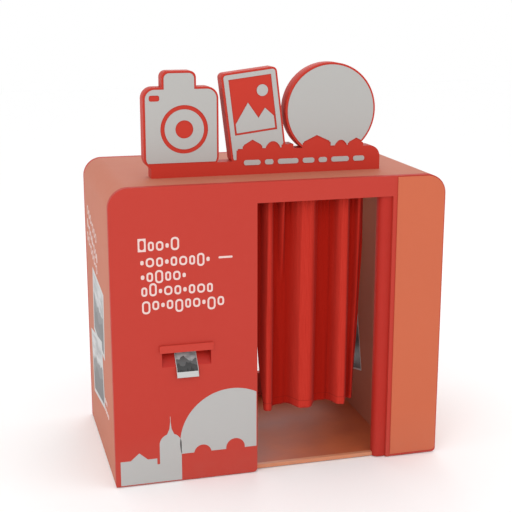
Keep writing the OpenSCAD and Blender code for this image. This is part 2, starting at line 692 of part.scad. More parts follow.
module service_door() color([0.78, 0.25, 0.2]) booth() difference() {
  block([sdoor_u + sdoor_gap, body_d - board_t + 0.5, sdoor_z + sdoor_gap],
        [sdoor_u + sdoor_w - sdoor_gap, body_d, sdoor_z + sdoor_h - sdoor_gap]);
  vent_slots(sdoor_z + 90, 7);
  vent_slots(sdoor_z + sdoor_h - 260, 7);
  translate([lock_u, body_d + 1, lock_z]) rotate([90, 0, 0]) cylinder(r = lock_r + 0.1, h = board_t + 3);
}

hinge_places = [sdoor_z + 150, sdoor_z + sdoor_h / 2, sdoor_z + sdoor_h - 150];
knuckle = hinge_len / 3;

// The leaves on the back board, each with its two outer knuckles and the pin.
module hinge_frame_leaves() color([0.7, 0.7, 0.72]) booth() for (z = hinge_places) {
  z0 = z - hinge_len / 2;
  block([hinge_u - 45, body_d, z0], [hinge_u - 7, body_d + hinge_leaf_t, z0 + hinge_len]);
  for (k = [0, 2]) translate([hinge_u, hinge_v, z0 + k * knuckle]) cylinder(r = hinge_r, h = knuckle);
  for (k = [0, 2]) block([hinge_u - 8, body_d, z0 + k * knuckle], [hinge_u - 1, hinge_v - 1, z0 + (k + 1) * knuckle]);
  translate([hinge_u, hinge_v, z0]) cylinder(r = hinge_pin_r, h = hinge_len);
}

// The leaves on the door, each with its middle knuckle.
module hinge_door_leaves() color([0.7, 0.7, 0.72]) booth() for (z = hinge_places) {
  z0 = z - hinge_len / 2;
  difference() {
    union() {
      block([hinge_u + 7, body_d, z0], [hinge_u + 45, body_d + hinge_leaf_t, z0 + hinge_len]);
      translate([hinge_u, hinge_v, z0 + knuckle + 0.5]) cylinder(r = hinge_r, h = knuckle - 1);
      block([hinge_u + 1, hinge_v - 5, z0 + knuckle + 0.5], [hinge_u + 9, hinge_v - 5 + hinge_leaf_t, z0 + 2 * knuckle - 0.5]);
      block([hinge_u + 7, body_d, z0 + knuckle + 0.5], [hinge_u + 9.5, hinge_v - 5 + hinge_leaf_t, z0 + 2 * knuckle - 0.5]);
    }
    translate([hinge_u, hinge_v, z0]) cylinder(r = hinge_pin_r + run_gap, h = hinge_len);
  }
}

// A turning handle whose cam swings behind the stud.
cam_l = 55;
module door_lock() color([0.3, 0.3, 0.31]) booth() translate([lock_u, 0, lock_z]) {
  translate([0, body_d + 4, 0]) rotate([90, 0, 0]) cylinder(r = lock_r, h = wall_t + 14);
  translate([0, body_d + 6 + seat, 0]) rotate([90, 0, 0]) cylinder(r = 17, h = 6);
  translate([-9, body_d + 6, -9]) cube([18, 12, 18]);
  translate([-9, body_d + 14, -60]) cube([18, 12, 120]);
  translate([-8, back_v - 10, -8]) cube([16, 4, cam_l + 8]);
}

// ---------- sign ----------
// Three plain shapes on one bar: a camera, a tilted print and a round disc behind a row of roofs.
// All are drawn in the front view with an inset m, from the sign's lower left corner.

block_u = 606;                    // where the higher right half of the base starts
block_h = 172;
block_r = 80;
cam_at = [-47, 60];
cam_size = [520, 555];
hump = [236, 108];
card_at = [566, 80];
card_size = [396, 620];
card_tilt = 7;
disc_r = 330;
disc_at = [1282, 432];
lens_at = cam_at + [cam_size[0] / 2 + 20, 270];

module camera_shape(m) {
  translate(cam_at + [m, m]) rounded_rect(cam_size[0] - 2 * m, cam_size[1] - 2 * m, 80 - m);
  translate(cam_at + [130 + m, cam_size[1] - 100]) rounded_rect(hump[0] - 2 * m, hump[1] + 100 - m, 45 - m / 2);
}
module card_shape(m) translate(card_at) rotate(card_tilt)
  translate([m, m]) rounded_rect(card_size[0] - 2 * m, card_size[1] - 2 * m, 34 - m);

// The base: a low bar and a higher block with a rounded end and plain roofs on it.
module base_shape() {
  h = block_h;
  square([sign_l, sign_bar]);
  polygon([[block_u, 0], [block_u, h], [650, h], [650, h + 26], [712, h + 62], [774, h + 26], [774, h],
    [930, h], [930, h + 30], [1010, h + 30], [1010, h], [1085, h], [1085, h + 34], [1180, h + 78],
    [1275, h + 34], [1275, h], [1420, h], [1420, h + 22], [1475, h + 50], [1530, h + 22], [1530, h],
    [sign_l - block_r, h], [sign_l - block_r, 0]]);
  translate([860, h]) circle(46);
  translate([1360, h]) circle(38);
  translate([sign_l - block_r - 1, 0]) square([block_r + 1, h - block_r]);
  translate([sign_l - block_r, h - block_r]) circle(block_r);
}

module on_sign(v0, v1) booth() translate([sign_u, 0, body_h]) along_depth(v0, v1) children();

// The three shapes stand on the base and are cut to its outline.
module standing() on_sign(sign_set, sign_set + sign_t) difference() {
  children();
  translate([-200, -200]) square([3000, 200]);
  base_shape();
}
module sign_base() color([0.76, 0.22, 0.17]) on_sign(sign_set, sign_set + sign_t) base_shape();
module sign_camera() color([0.76, 0.22, 0.17]) standing() camera_shape(0);
module sign_print() color([0.76, 0.22, 0.17]) standing() card_shape(0);
module sign_disc() color([0.76, 0.22, 0.17]) standing() translate(disc_at) circle(disc_r, $fn = 128);

// Light faces. The lens ring, the print's picture and the roofs show the red body between them.
module camera_face() difference() {
  camera_shape(sign_margin);
  translate([-200, -200]) square([3000, 200 + sign_bar + 8]);
  translate(lens_at) difference() {
    circle(165);
    circle(136);
  }
  translate(lens_at) circle(62);
  translate(cam_at + [40, cam_size[1] - 92]) rounded_rect(72, 40, 14);
}
module card_face() difference() {
  card_shape(sign_margin);
  above_base();
  translate(card_at) rotate(card_tilt) translate([46, 190]) square([card_size[0] - 92, card_size[1] - 236]);
}
module above_base() {
  translate([-200, -200]) square([3000, 200]);
  for (d = [[0, 10], [9, 0], [-9, 0]]) translate(d) base_shape();
}
module card_picture() translate(card_at) rotate(card_tilt) translate([46, 190]) {
  w = card_size[0] - 92;
  polygon([[14, 14], [w - 14, 14], [w - 14, 96], [w - 70, 160], [w - 124, 96], [118, 212], [14, 76]]);
  translate([w - 74, 282]) circle(40);
}
pill_h = 36;
pill_rows = [[44, 120], [196, 62], [290, 150], [472, 86], [590, 62], [684, 132], [848, 84]];
module name_pills() for (p = pill_rows) translate([block_u + p[0], 66]) rounded_rect(p[1], pill_h, 17);

module sign_faces() color([0.74, 0.73, 0.71]) on_sign(sign_set - face_t, sign_set) {
  camera_face();
  card_face();
  card_picture();
  difference() {
    translate(disc_at) circle(disc_r - sign_margin, $fn = 128);
    above_base();
  }
  name_pills();
}

// Three angles behind the sign, on the roof.
bracket_t = 5;
module sign_brackets() color([0.3, 0.3, 0.31]) booth() for (u = [sign_u + 180, sign_u + sign_l / 2, sign_u + sign_l - 180])
  translate([u - 30, sign_set + sign_t, body_h]) {
    cube([60, bracket_t, 90]);
    cube([60, 80, bracket_t]);
  }

// ---------- every node ----------

floor_deck();
levelling_feet();
left_shell();
right_shell();
roof_panel();
front_panel();
column_cover();
front_frame();
back_panel_left();
back_panel_right();
back_frame();
roof_joists();
partition();
inner_wall();
ceiling_panel();
ceiling_light();
door_jamb();
threshold_strip();
front_track();
for (k = [1:front_n]) glider(front_glider_u(k), track_set);
front_curtain();
rear_track();
for (k = [1:rear_n]) glider(rear_glider_u(k), rear_track_v);
rear_curtain();
slot_hood();
delivery_chute();
photo_print();
printer_shelf();
printer_body();
printer_lid();
paper_roll();
camera_rails();
camera_carriage();
camera_body();
camera_window();
touch_screen();
screen_bezel();
flash_diffusers();
button_housing();
start_button();
coin_unit();
coin_flap();
control_computer();
mains_inlet();
service_door();
hinge_frame_leaves();
hinge_door_leaves();
door_lock();
sign_base();
sign_camera();
sign_print();
sign_disc();
sign_faces();
sign_brackets();
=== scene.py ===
import math
import random

import bpy
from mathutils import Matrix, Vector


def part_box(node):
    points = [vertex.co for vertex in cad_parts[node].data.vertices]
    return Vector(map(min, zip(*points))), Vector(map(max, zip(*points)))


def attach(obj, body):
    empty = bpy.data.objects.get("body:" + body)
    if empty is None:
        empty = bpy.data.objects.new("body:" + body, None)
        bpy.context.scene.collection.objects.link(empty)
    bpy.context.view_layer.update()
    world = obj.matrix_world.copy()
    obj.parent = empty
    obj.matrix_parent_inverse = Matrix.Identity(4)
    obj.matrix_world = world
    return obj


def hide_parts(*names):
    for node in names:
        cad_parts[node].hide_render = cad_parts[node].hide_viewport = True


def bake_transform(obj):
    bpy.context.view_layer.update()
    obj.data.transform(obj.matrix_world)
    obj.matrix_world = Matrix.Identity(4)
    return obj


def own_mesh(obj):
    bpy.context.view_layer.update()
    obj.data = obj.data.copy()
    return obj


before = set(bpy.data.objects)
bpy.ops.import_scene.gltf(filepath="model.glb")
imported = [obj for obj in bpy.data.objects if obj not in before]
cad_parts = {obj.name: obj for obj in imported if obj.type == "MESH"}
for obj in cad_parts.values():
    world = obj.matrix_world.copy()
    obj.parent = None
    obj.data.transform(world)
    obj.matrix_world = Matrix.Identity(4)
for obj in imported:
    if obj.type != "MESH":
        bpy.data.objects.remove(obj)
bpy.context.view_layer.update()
bpy.ops.object.select_all(action="DESELECT")

# Camera: stands in front and to the left, a little above the roof, and looks down at the doorway.
# It has a long lens, so the booth's uprights lean only slightly.
bpy.ops.object.camera_add(location=(-2.0621, -7.6396, 3.3590),
                          rotation=(math.radians(76.183), 0, math.radians(-15.0925)))
viewpoint = bpy.context.object
viewpoint.data.lens = 76.456
viewpoint.data.sensor_width = 36.0
viewpoint.data.clip_end = 200.0
bpy.context.scene.camera = viewpoint

# Studio: a pale floor and a pale surround, one very large soft light high at the front left, a
# weaker one at the right and one behind, so the booth has no hard shadow anywhere.
def fill(target, **terms):
    """Gives a node's inputs a value each, or the socket that it comes from; _ stands for a space."""
    for name, term in terms.items():
        socket = target.inputs[name.replace("_", " ")]
        if isinstance(term, bpy.types.NodeSocket):
            target.id_data.links.new(term, socket)
        else:
            socket.default_value = term
    return target


def start_material(name):
    """A new material, its shader and its node tree."""
    m = bpy.data.materials.new(name)
    m.use_nodes = True
    return m, m.node_tree.nodes["Principled BSDF"], m.node_tree


bpy.ops.mesh.primitive_plane_add(size=60, location=(0, 0, -0.0005))
studio_floor = bpy.context.object
studio_floor.name = "studio_floor"
floor_paint, floor_shader = start_material("pale_floor")[:2]
fill(floor_shader, Base_Color=(1.0, 1.0, 1.0, 1), Roughness=0.9)
studio_floor.data.materials.append(floor_paint)
surround = bpy.data.worlds.new("surround")
surround.use_nodes = True
fill(surround.node_tree.nodes["Background"], Color=(1, 1, 1, 1), Strength=1.0)
bpy.context.scene.world = surround
for name, place, aim, size, power in (
        ("front_softbox", (-3.6, -6.5, 5.2), (0, 0, 1.1), 4.0, 110),
        ("right_softbox", (6.0, -5.0, 4.0), (0, 0, 1.1), 4.0, 30),
        ("back_softbox", (2.0, 7.0, 5.0), (0, 0, 1.1), 4.0, 70)):
    lamp = bpy.data.lights.new(name, "AREA")
    lamp.size, lamp.energy = size, power
    holder = bpy.data.objects.new(name, lamp)
    bpy.context.scene.collection.objects.link(holder)
    holder.location = place
    away = [p - a for p, a in zip(place, aim)]
    flat = math.hypot(away[0], away[1])
    holder.rotation_euler = (math.atan2(flat, away[2]), 0, math.atan2(away[0], -away[1]))
bpy.context.scene.view_settings.view_transform = "Standard"


# Painted boards: the shells, front and back boards and the roof are birch plywood, rolled with
# matt paint. The roller leaves a fine dimple, the colour drifts a little from board to board, and
# the lowest part picks up dust and scuffs from the street.
def node(tree, kind, **terms):
    """A new shader node with its inputs filled."""
    return fill(tree.nodes.new("ShaderNode" + kind), **terms)


def sums(tree, operation, *terms):
    """A Math node's result; each term is a number or the socket that gives it."""
    made = node(tree, "Math")
    made.operation = operation
    for socket, term in zip(made.inputs, terms):
        if isinstance(term, bpy.types.NodeSocket):
            tree.links.new(term, socket)
        else:
            socket.default_value = term
    return made.outputs[0]


def mixed(tree, factor, a, b, how="MIX"):
    """The colour that a mix of a and b gives."""
    made = node(tree, "Mix")
    made.data_type, made.blend_type = "RGBA", how
    return fill(made, Factor=factor, A=a, B=b).outputs["Result"]


def build_roller_coat():
    """Street dust reaches 0.38 m up; the group gives a colour, a roughness and a relief."""
    group = bpy.data.node_groups.new("roller_coat", "ShaderNodeTree")
    face = group.interface
    face.new_socket("Colour", in_out="INPUT", socket_type="NodeSocketColor")
    for name, usual in (("Drift", 0.05), ("Dust", 0.2), ("Gloss", 0.62)):
        face.new_socket(name, in_out="INPUT", socket_type="NodeSocketFloat").default_value = usual
    face.new_socket("Colour", in_out="OUTPUT", socket_type="NodeSocketColor")
    for name in ("Roughness", "Height"):
        face.new_socket(name, in_out="OUTPUT", socket_type="NodeSocketFloat")
    given, out = group.nodes.new("NodeGroupInput"), group.nodes.new("NodeGroupOutput")
    where = node(group, "TexCoord").outputs["Object"]
    broad, dimple, streak = (
        node(group, "TexNoise", Vector=where, Scale=scale, Detail=detail).outputs["Fac"]
        for scale, detail in ((1.7, 4), (210, 2), (14, 6)))
    drift = sums(group, "MULTIPLY_ADD", sums(group, "SUBTRACT", broad, 0.5), given.outputs["Drift"], 1.0)
    tone = node(group, "VectorMath")
    tone.operation = "SCALE"
    group.links.new(given.outputs["Colour"], tone.inputs[0])
    fill(tone, Scale=drift)
    up = node(group, "SeparateXYZ", Vector=where).outputs["Z"]
    low = node(group, "MapRange", Value=up, From_Min=0.38, From_Max=0.0).outputs[0]
    dusty = sums(group, "MULTIPLY", sums(group, "MULTIPLY", low, streak), given.outputs["Dust"])
    fill(out, Colour=mixed(group, dusty, tone.outputs[0], (0.33, 0.27, 0.22, 1)),
         Roughness=sums(group, "MULTIPLY_ADD", streak, 0.12, given.outputs["Gloss"]), Height=dimple)
    return group


roller_coat = build_roller_coat()


def rgb(red, green, blue):
    """A paint chart's 0 to 255 colour as the shader wants it."""
    return tuple(((c / 255 + 0.055) / 1.055) ** 2.4 if c > 10 else c / 3294
                 for c in (red, green, blue)) + (1,)


def bumped(shader, height, distance, strength):
    """Gives a shader's surface a fine relief."""
    relief = node(shader.id_data, "Bump", Height=height, Distance=distance, Strength=strength)
    fill(shader, Normal=relief.outputs["Normal"])


def rolled_paint(name, colour, drift=0.05, dust=0.2, gloss=0.62, dimple=0.0003):
    """A matt rolled paint of one colour."""
    m, shader, tree = start_material(name)
    coat = tree.nodes.new("ShaderNodeGroup")
    coat.node_tree = roller_coat
    fill(coat, Colour=colour, Drift=drift, Dust=dust, Gloss=gloss)
    fill(shader, Base_Color=coat.outputs["Colour"], Roughness=coat.outputs["Roughness"],
         Specular_IOR_Level=0.35)
    bumped(shader, coat.outputs["Height"], dimple, 0.5)
    return m


def dress(material, *nodes):
    """Gives CAD pieces their finish."""
    for node in nodes:
        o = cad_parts[node]
        for s in o.material_slots:
            s.material = material
        if not o.material_slots:
            o.data.materials.append(material)


def ease_edges(width, *nodes):
    """Rounds the sharp edges of sawn boards and parts, as sanding or moulding does."""
    for node in nodes:
        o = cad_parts[node]
        joined = o.modifiers.new("joined", "WELD")
        joined.merge_threshold = 0.00003
        eased = o.modifiers.new("eased", "BEVEL")
        eased.width, eased.segments, eased.limit_method = width, 2, "ANGLE"
        eased.angle_limit = math.radians(40)
        eased.harden_normals = False


red_paint = rolled_paint("red_matt_paint", rgb(183, 51, 38), dust=0.12)
salmon_paint = rolled_paint("salmon_matt_paint", rgb(190, 113, 88), dust=0.12)
orange_paint = rolled_paint("orange_matt_paint", rgb(196, 98, 65), dust=0.12)
dress(red_paint, "front_panel", "back_panel_left", "back_panel_right", "service_door", "front_frame",
      "back_frame")
dress(salmon_paint, "left_shell", "right_shell", "roof_panel")
dress(orange_paint, "column_cover")
ease_edges(0.0015, "column_cover", "service_door")

# Inner boards: partition, inner wall and ceiling are painted a brown red that the doorway keeps in
# shade. They are the same rolled paint, less dusty.
wall_paint = rolled_paint("inner_wall_paint", rgb(166, 94, 70), drift=0.08, dust=0.08, gloss=0.7)
dress(wall_paint, "partition", "inner_wall", "ceiling_panel")

# Rounded jamb: a planed softwood post with a large front radius, painted red. It stands at the
# doorway's right edge.
jamb_paint = rolled_paint("jamb_paint", rgb(175, 31, 16), drift=0.08, dust=0.06, gloss=0.62)
dress(jamb_paint, "door_jamb")


# Floor: plywood under an orange-brown vinyl sheet. Feet polish the middle and bring in dust, and
# an aluminium nosing in the same orange protects the front edge.
def ramp(tree, source, colours, places=(0.0, 1.0)):
    """The colour that a ramp between two colours gives."""
    made = node(tree, "ValToRGB", Fac=source)
    for stop, place, colour in zip(made.color_ramp.elements, places, colours):
        stop.position, stop.color = place, colour
    return made.outputs["Color"]


def worn_floor():
    m, shader, tree = start_material("floor_vinyl")
    where = node(tree, "TexCoord").outputs["Object"]
    chips = node(tree, "TexNoise", Vector=where, Scale=160, Detail=3)
    traffic = node(tree, "TexNoise", Vector=where, Scale=2.6, Detail=6).outputs["Fac"]
    trodden = ramp(tree, traffic, (rgb(178, 82, 44), rgb(204, 102, 56)), (0.35, 0.7))
    rough = node(tree, "MapRange", Value=traffic, To_Min=0.42, To_Max=0.68)
    fill(shader, Base_Color=mixed(tree, 0.18, trodden, chips.outputs["Color"], "MULTIPLY"),
         Roughness=rough.outputs[0])
    bumped(shader, chips.outputs["Fac"], 0.0004, 0.4)
    return m


dress(worn_floor(), "floor_deck")
dress(rolled_paint("nosing_coat", rgb(212, 132, 92), dust=0.4, gloss=0.4), "threshold_strip")

# Foot pads: black rubber discs on threaded stems. They lift the booth a little off the ground and
# level it.
rubber = rolled_paint("black_rubber", rgb(30, 29, 28), dust=0.5, gloss=0.75, dimple=0.0006)
dress(rubber, "levelling_feet")


# Bare timber: joists and the printer's shelf are planed softwood and ply, left unpainted inside.
# The grain is noise drawn out along the boards.
def bare_timber():
    m, shader, tree = start_material("bare_timber")
    turn = node(tree, "Mapping", Vector=node(tree, "TexCoord").outputs["Object"], Scale=(22, 1.2, 22))
    rings = node(tree, "TexNoise", Vector=turn.outputs[0], Scale=3.5, Detail=8).outputs["Fac"]
    fill(shader, Base_Color=ramp(tree, rings, (rgb(176, 138, 92), rgb(214, 182, 134)), (0.35, 0.65)),
         Roughness=0.66)
    bumped(shader, rings, 0.0004, 0.5)
    return m


dress(bare_timber(), "roof_joists", "printer_shelf")

# Roof sign: three thick foam-board shapes on a bar, painted red all round, with light grey faces
# of cut sheet glued on. The faces stop short of the edge, so a red outline is left.
sign_red = rolled_paint("sign_red_paint", rgb(187, 43, 24), drift=0.06, dust=0.0, gloss=0.55)
sign_light = rolled_paint("sign_light_sheet", rgb(174, 173, 170), drift=0.03, dust=0.0, gloss=0.5,
                          dimple=0.0001)
dress(sign_red, "sign_base", "sign_camera", "sign_print", "sign_disc")
dress(sign_light, "sign_faces")
ease_edges(0.0012, "sign_base", "sign_camera", "sign_print", "sign_disc", "sign_faces")
bracket_coat = rolled_paint("bracket_coat", rgb(70, 70, 72), dust=0.0, gloss=0.45)
dress(bracket_coat, "sign_brackets", "door_lock")


# Printed graphics: light vinyl film, cut and stuck on the front board and the left side. Rows of
# rounded dabs stand where words would be; below is a plain town outline with a half sun.
def clear_choice():
    bpy.ops.object.select_all(action="DESELECT")


def bake_place():
    """Applies the chosen pieces' place, turn and size, so they end unturned at the origin."""
    bpy.ops.object.transform_apply(location=True, rotation=True, scale=True)


def film_bar(name, size, place, tilt=(0, 0, 0), along="y", corner=None):
    """A flat bar of film with rounded corners; along is the axis that the film is thin in."""
    clear_choice()
    bpy.ops.mesh.primitive_cube_add(size=1, location=place, scale=size)
    o = bpy.context.object
    o.name = name
    bpy.ops.object.transform_apply(location=False, rotation=False, scale=True)
    axis = "xyz".index(along)
    bpy.ops.object.mode_set(mode="EDIT")
    bpy.ops.mesh.select_all(action="DESELECT")
    bpy.ops.object.mode_set(mode="OBJECT")
    v = o.data.vertices
    for e in o.data.edges:
        a, b = v[e.vertices[0]].co, v[e.vertices[1]].co
        e.select = abs(a[axis] - b[axis]) > 1e-6 and all(
            abs(a[k] - b[k]) < 1e-6 for k in range(3) if k != axis)
    for f in o.data.polygons:
        f.select = False
    for w in v:
        w.select = False
    for e in o.data.edges:
        if e.select:
            v[e.vertices[0]].select = v[e.vertices[1]].select = True
    bpy.ops.object.mode_set(mode="EDIT")
    bpy.ops.mesh.select_mode(type="EDGE")
    radius = corner if corner else 0.45 * min(size[k] for k in range(3) if k != axis)
    bpy.ops.mesh.bevel(offset=radius, segments=6, affect="EDGES", clamp_overlap=True)
    bpy.ops.object.mode_set(mode="OBJECT")
    o.rotation_euler = tilt
    bake_place()
    return o


def join_up(name, group):
    """Makes one piece of several."""
    clear_choice()
    for o in group:
        o.select_set(True)
    bpy.context.view_layer.objects.active = group[0]
    bpy.ops.object.join()
    group[0].name = name
    bake_place()
    return group[0]


def combine(base, tool, how):
    """Adds one solid to another, or cuts with it."""
    clear_choice()
    base.select_set(True)
    bpy.context.view_layer.objects.active = base
    step = base.modifiers.new("step", "BOOLEAN")
    step.operation, step.object, step.solver = how, tool, "EXACT"
    bpy.ops.object.modifier_apply(modifier="step")
    bpy.data.objects.remove(tool)
    return base


front_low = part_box("front_panel")[0]
film = 0.0008
on_front = front_low[1] - film / 2
left_edge = front_low[0]
vinyl = rolled_paint("light_vinyl", rgb(222, 196, 190), drift=0.03, dust=0.02, gloss=0.45, dimple=0.00005)
grey_vinyl = rolled_paint("grey_vinyl", rgb(176, 175, 173), drift=0.03, dust=0.02, gloss=0.5, dimple=0.00005)

dab_rows = ((0.190, 1.704, 5, 0.010), (0.205, 1.594, 9, 0.0), (0.206, 1.494, 6, 0.0),
            (0.207, 1.394, 9, 0.012), (0.209, 1.296, 10, -0.012))
dab_widths = (0.054, 0.040, 0.050, 0.022, 0.056, 0.046, 0.024, 0.044)
dabs = []
for row, (start, height, count, lift) in enumerate(dab_rows):
    at = left_edge + start
    for k in range(count):
        wide = dab_widths[(3 * row + k) % len(dab_widths)]
        tall = 0.064 if (k + row) % 4 else 0.090
        up = lift if (k + row) % 4 == 0 else 0.0
        if wide < 0.037:
            tall, up = 0.030, 0.0
        dab = film_bar("dab", (wide, film, tall), (at + wide / 2, on_front, height + up))
        if wide > 0.037:
            hole = film_bar("hole", (wide - 0.024, 4 * film, tall - 0.026),
                            (at + wide / 2, on_front, height + up))
            combine(dab, hole, "DIFFERENCE")
        dabs.append(dab)
        at += wide + 0.014
    if row == 1:
        dabs.append(film_bar("dab", (0.097, film, 0.014), (left_edge + 0.785, on_front, height + 0.006)))
front_dabs = join_up("front_words", dabs)
front_dabs.data.materials.append(vinyl)
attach(front_dabs, "cabinet")


def film_block(x0, x1, z0, z1):
    """A square-cornered piece of film on the front, measured from the booth's left edge."""
    clear_choice()
    bpy.ops.mesh.primitive_cube_add(size=1, location=(left_edge + (x0 + x1) / 2, on_front, (z0 + z1) / 2),
                                    scale=(x1 - x0, film, z1 - z0))
    bake_place()
    return bpy.context.object


def film_disc(x, z, radius, corners=96, flat=1.0, thick=film):
    """A round or cornered piece of film on the front; three corners make a gable."""
    clear_choice()
    bpy.ops.mesh.primitive_cylinder_add(vertices=corners, radius=radius, depth=thick,
                                        location=(left_edge + x, on_front, z),
                                        rotation=(math.radians(90), 0, 0))
    o = bpy.context.object
    bpy.ops.object.transform_apply(location=False, rotation=True, scale=True)
    o.scale = (1, 1, flat)
    bake_place()
    return o


# The town: a low house with a gable, and a tower with a round top and a thin mast.
town = film_block(0.032, 0.461, 0.012, 0.146)
combine(town, film_block(0.032, 0.288, 0.10, 0.190), "UNION")
combine(town, film_disc(0.163, 0.196, 0.092, 3, 0.50), "UNION")
combine(town, film_block(0.307, 0.461, 0.10, 0.292), "UNION")
combine(town, film_disc(0.384, 0.288, 0.077, 72, 0.98), "UNION")
combine(town, film_disc(0.385, 0.372, 0.034, 3, 1.3), "UNION")
combine(town, film_disc(0.385, 0.404, 0.012, 3, 5.0), "UNION")
combine(town, film_block(0.3835, 0.3865, 0.40, 0.490), "UNION")
town.name = "front_town"
town.data.materials.append(grey_vinyl)
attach(town, "cabinet")

# The half sun runs off the doorway's edge; two round hills are cut out of its foot.
sun = film_disc(0.828, 0.280, 0.376)
combine(sun, film_block(0.40, 1.30, -0.2, 0.205), "DIFFERENCE")
combine(sun, film_block(1.001, 1.30, -0.2, 0.9), "DIFFERENCE")
combine(sun, film_disc(0.612, 0.196, 0.062, 48, 1.0, 0.004), "DIFFERENCE")
combine(sun, film_disc(0.848, 0.212, 0.068, 48, 1.0, 0.004), "DIFFERENCE")
sun.name = "front_sun"
sun.data.materials.append(grey_vinyl)
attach(sun, "cabinet")


# Printed pictures: grey landscape prints with a light border. Each is a made-up view of hills under
# a cloudy sky, mixed from noise in the shader, so it shows no real place.
def landscape_print(name, seed, border=0.06, foot=None, dark=0.05, light=0.6):
    """border is the light edge as a share of the sheet, and foot the lower edge's where it is wider."""
    m, shader, tree = start_material(name)
    where = node(tree, "TexCoord").outputs["UV"]
    split = node(tree, "SeparateXYZ", Vector=where)
    drawn_out = node(tree, "Mapping", Vector=where, Scale=(1, 3.2, 1), Location=(seed, seed, 0))
    cloud = node(tree, "TexNoise", Vector=drawn_out.outputs[0], Scale=2.6, Detail=6).outputs["Fac"]
    grain = node(tree, "TexNoise", Vector=where, Scale=42, Detail=3).outputs["Fac"]
    view = ramp(tree, cloud, ((0.55 * light, 0.56 * light, 0.57 * light, 1), (light, light, light, 1)),
                (0.38, 0.62))
    ridges = ((0.40, 0.34, 2.4, 0.17 * light), (0.24, 0.34, 3.6, 0.06 * light), (0.02, 0.38, 6.0, dark))
    for k, (base, tall, scale, tone) in enumerate(ridges):
        line = node(tree, "TexNoise")
        line.noise_dimensions = "1D"
        fill(line, W=sums(tree, "ADD", split.outputs["X"], seed + 3.7 * k), Scale=scale, Detail=5)
        ridge = sums(tree, "MULTIPLY_ADD", line.outputs["Fac"], tall, base)
        under = sums(tree, "SUBTRACT", ridge, split.outputs["Y"])
        edge = node(tree, "MapRange", Value=under, From_Min=-0.006, From_Max=0.006)
        land = ramp(tree, grain, ((0.7 * tone, 0.7 * tone, 0.72 * tone, 1),
                                  (1.8 * tone, 1.8 * tone, 1.8 * tone, 1)))
        view = mixed(tree, edge.outputs[0], view, land)
    inside = None
    for axis, before in (("X", border), ("Y", border if foot is None else foot)):
        centred = sums(tree, "SUBTRACT", split.outputs[axis], 0.5 + (before - border) / 2)
        within = sums(tree, "LESS_THAN", sums(tree, "ABSOLUTE", centred), 0.5 - (before + border) / 2)
        inside = within if inside is None else sums(tree, "MULTIPLY", inside, within)
    fill(shader, Base_Color=mixed(tree, inside, (0.50, 0.50, 0.495, 1), view), Roughness=0.38)
    return m


def picture_sheet(name, width, height, place, tilt, material):
    """A thin printed sheet that faces -X; tilt turns it in its own plane."""
    clear_choice()
    bpy.ops.mesh.primitive_plane_add(size=1, calc_uvs=True)
    o = bpy.context.object
    o.name = name
    o.scale = (width, height, 1)
    bake_place()
    bpy.ops.object.mode_set(mode="EDIT")
    bpy.ops.mesh.select_all(action="SELECT")
    bpy.ops.mesh.subdivide(number_cuts=3)
    bpy.ops.object.mode_set(mode="OBJECT")
    o.rotation_euler = (0, 0, tilt)
    bake_place()
    o.rotation_euler = (math.radians(90), 0, math.radians(-90))
    o.location = place
    bake_place()
    backed = o.modifiers.new("backed", "SOLIDIFY")
    backed.thickness, backed.offset = 0.0006, -1
    bpy.ops.object.modifier_apply(modifier="backed")
    o.data.materials.append(material)
    return o


shell_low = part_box("left_shell")[0]
on_left = shell_low[0] - 0.0008
back_of_front = front_low[1]
upper_view = picture_sheet("side_picture_upper", 0.62, 0.50, (on_left, back_of_front + 0.715, 1.060),
                           math.radians(-5), landscape_print("side_view_upper", 3.1, light=0.5))
lower_view = picture_sheet("side_picture_lower", 0.66, 0.50, (on_left - 0.0008, back_of_front + 0.860, 0.590),
                           math.radians(8), landscape_print("side_view_lower", 7.7, dark=0.02, light=0.5))
for sheet in (upper_view, lower_view):
    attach(sheet, "cabinet")

side_dabs = []
for row, (y, z, count) in enumerate(((1.215, 1.735, 7), (1.235, 1.630, 9), (1.270, 1.520, 8))):
    at = y
    for k in range(count):
        wide = dab_widths[(row + 2 * k) % len(dab_widths)] * 1.25
        spot = (on_left, back_of_front + at - wide / 2, z - 0.02 * k)
        lean = (math.radians(-14), 0, 0)
        dab = film_bar("dab", (film, wide, 0.070 if wide > 0.037 else 0.034), spot, lean, "x")
        if wide > 0.05:
            combine(dab, film_bar("hole", (4 * film, wide - 0.028, 0.042), spot, lean, "x"), "DIFFERENCE")
        side_dabs.append(dab)
        at -= wide + 0.016
for row, (y, z, count) in enumerate(((0.500, 0.470, 3), (0.520, 0.400, 4))):
    at = y
    for k in range(count):
        wide = dab_widths[(row + 3 * k) % len(dab_widths)]
        side_dabs.append(film_bar("dab", (film, wide, 0.036), (on_left, back_of_front + at - wide / 2, z),
                                  (0, 0, 0), "x"))
        at -= wide + 0.012
side_words = join_up("side_words", side_dabs)
side_words.data.materials.append(vinyl)
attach(side_words, "cabinet")

inner_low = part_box("inner_wall")[0]
wall_view = picture_sheet("inner_wall_picture", 0.46, 0.64, (inner_low[0] - 0.0004, 0.35, 0.66),
                          math.radians(14),
                          landscape_print("inner_wall_view", 12.4, border=0.02, dark=0.06, light=0.4))
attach(wall_view, "cabinet")

